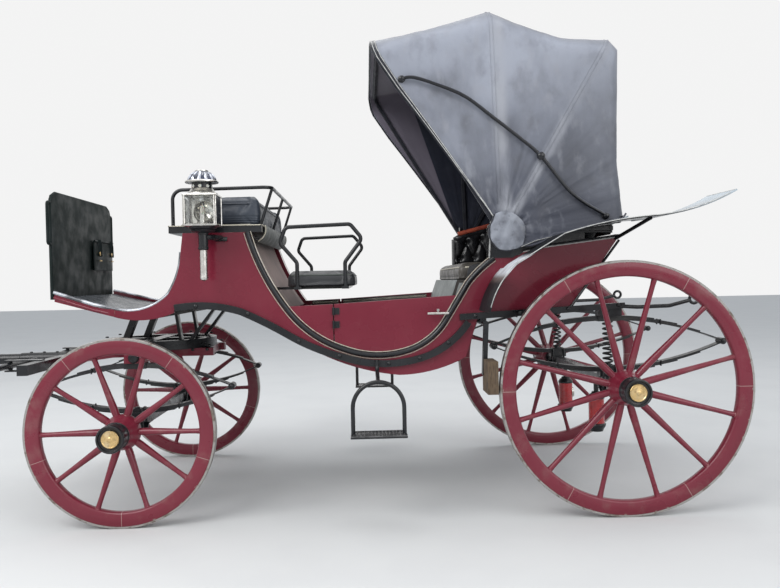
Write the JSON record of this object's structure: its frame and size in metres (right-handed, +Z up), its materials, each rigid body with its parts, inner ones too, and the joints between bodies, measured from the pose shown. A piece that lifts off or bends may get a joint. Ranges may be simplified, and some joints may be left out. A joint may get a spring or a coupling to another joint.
{
  "type": "horse drawn carriage",
  "caption": "Four-wheeled open carriage with a raised leather hood, a driver's box seat, low side doors, elliptic springs and a draught pole.",
  "frame": {"origin": "on the ground, at the middle of the carriage's length and width", "axes": "+X to the rear, along the longest side, +Y to the carriage's right, +Z up"},
  "size_m": [5.167, 1.708, 2.236],
  "materials": {
    "black_body": "black coach paint, satin",
    "black_hub": "black gloss with a pale metal cap",
    "black_iron": "black paint, satin",
    "black_lamp": "black lacquer with nickel frames",
    "black_leather": "black leather",
    "bow_wood": "dark painted ash",
    "gloss_black": "black patent gloss",
    "grey_leather": "worn black leather",
    "hood_leather": "worn black leather",
    "iron_tyre": "worn bare iron",
    "lamp_pane": "clear bevelled glass",
    "red_body": "burgundy coach paint, gloss",
    "red_iron": "burgundy paint, gloss",
    "red_wheel": "burgundy coach paint, gloss",
    "spring_steel": "black paint on spring steel",
    "tail_lamp": "red glass in black frames"
  },
  "bodies": {
    "carriage": {"body_beads": "black_iron", "body_bottom": "red_body", "body_side_left": "red_body", "body_side_right": "red_body", "box_base": "black_body", "box_boards": "black_body", "box_cushion": "black_leather", "box_rail": "black_iron", "brake_gear": "black_iron", "child_seat": "black_leather", "child_seat_frame": "black_iron", "coil_springs": "spring_steel", "dash_handles": "black_iron", "dashboard": "black_leather", "hood_bows": "bow_wood", "hood_cover": "hood_leather", "hood_irons": "black_iron", "lamp_glass": "lamp_pane", "lamps": "black_lamp", "rear_axle": "black_iron", "rear_cushion": "grey_leather", "rear_panel": "red_body", "rear_seat_box": "grey_leather", "rear_springs": "spring_steel", "rear_squab": "black_leather", "rear_wings": "gloss_black", "rocker_irons": "black_iron", "sill_irons": "black_iron", "steps": "black_iron", "tail_lamps": "tail_lamp", "upper_ring": "black_iron"},
    "fore_carriage": {"front_axle": "black_iron", "front_springs": "spring_steel", "fore_frame": "red_iron", "lower_ring": "black_iron", "splinter_bar": "red_iron", "pole": "black_iron"},
    "door_left_body": {"door_left": "red_body"},
    "door_right_body": {"door_right": "red_body"},
    "swingletree_left_body": {"swingletree_left": "black_iron"},
    "swingletree_right_body": {"swingletree_right": "black_iron"},
    "front_wheel_left_body": {"front_wheel_left": "red_wheel", "front_tyre_left": "iron_tyre", "front_hub_left": "black_hub"},
    "front_wheel_right_body": {"front_wheel_right": "red_wheel", "front_tyre_right": "iron_tyre", "front_hub_right": "black_hub"},
    "rear_wheel_left_body": {"rear_wheel_left": "red_wheel", "rear_tyre_left": "iron_tyre", "rear_hub_left": "black_hub"},
    "rear_wheel_right_body": {"rear_wheel_right": "red_wheel", "rear_tyre_right": "iron_tyre", "rear_hub_right": "black_hub"}
  },
  "joints": [
    {"name": "steering", "type": "hinge", "parent": "carriage", "child": "fore_carriage", "pos_m": [-0.1335, 0, 0.72], "axis": [0, 0, 1], "range_deg": [-60, 60]},
    {"name": "door_left_swing", "type": "hinge", "parent": "carriage", "child": "door_left_body", "pos_m": [0.7765, -0.517, 0.87], "axis": [0, 0, -1], "range_deg": [0, 100]},
    {"name": "door_right_swing", "type": "hinge", "parent": "carriage", "child": "door_right_body", "pos_m": [0.7765, 0.517, 0.87], "axis": [0, 0, 1], "range_deg": [0, 100]},
    {"name": "swingletree_left_pivot", "type": "hinge", "parent": "fore_carriage", "child": "swingletree_left_body", "pos_m": [-0.7395, -0.335, 0.671], "axis": [0, 0, 1], "range_deg": [-15, 15]},
    {"name": "front_wheel_left_spin", "type": "hinge", "parent": "fore_carriage", "child": "front_wheel_left_body", "pos_m": [-0.1335, -0.66, 0.406], "axis": [0, 1, 0], "continuous": true},
    {"name": "rear_wheel_left_spin", "type": "hinge", "parent": "carriage", "child": "rear_wheel_left_body", "pos_m": [2.0335, -0.71, 0.55], "axis": [0, 1, 0], "continuous": true},
    {"name": "swingletree_right_pivot", "type": "hinge", "parent": "fore_carriage", "child": "swingletree_right_body", "pos_m": [-0.7395, 0.335, 0.671], "axis": [0, 0, 1], "range_deg": [-15, 15]},
    {"name": "front_wheel_right_spin", "type": "hinge", "parent": "fore_carriage", "child": "front_wheel_right_body", "pos_m": [-0.1335, 0.66, 0.406], "axis": [0, 1, 0], "continuous": true},
    {"name": "rear_wheel_right_spin", "type": "hinge", "parent": "carriage", "child": "rear_wheel_right_body", "pos_m": [2.0335, 0.71, 0.55], "axis": [0, 1, 0], "continuous": true}
  ]
}
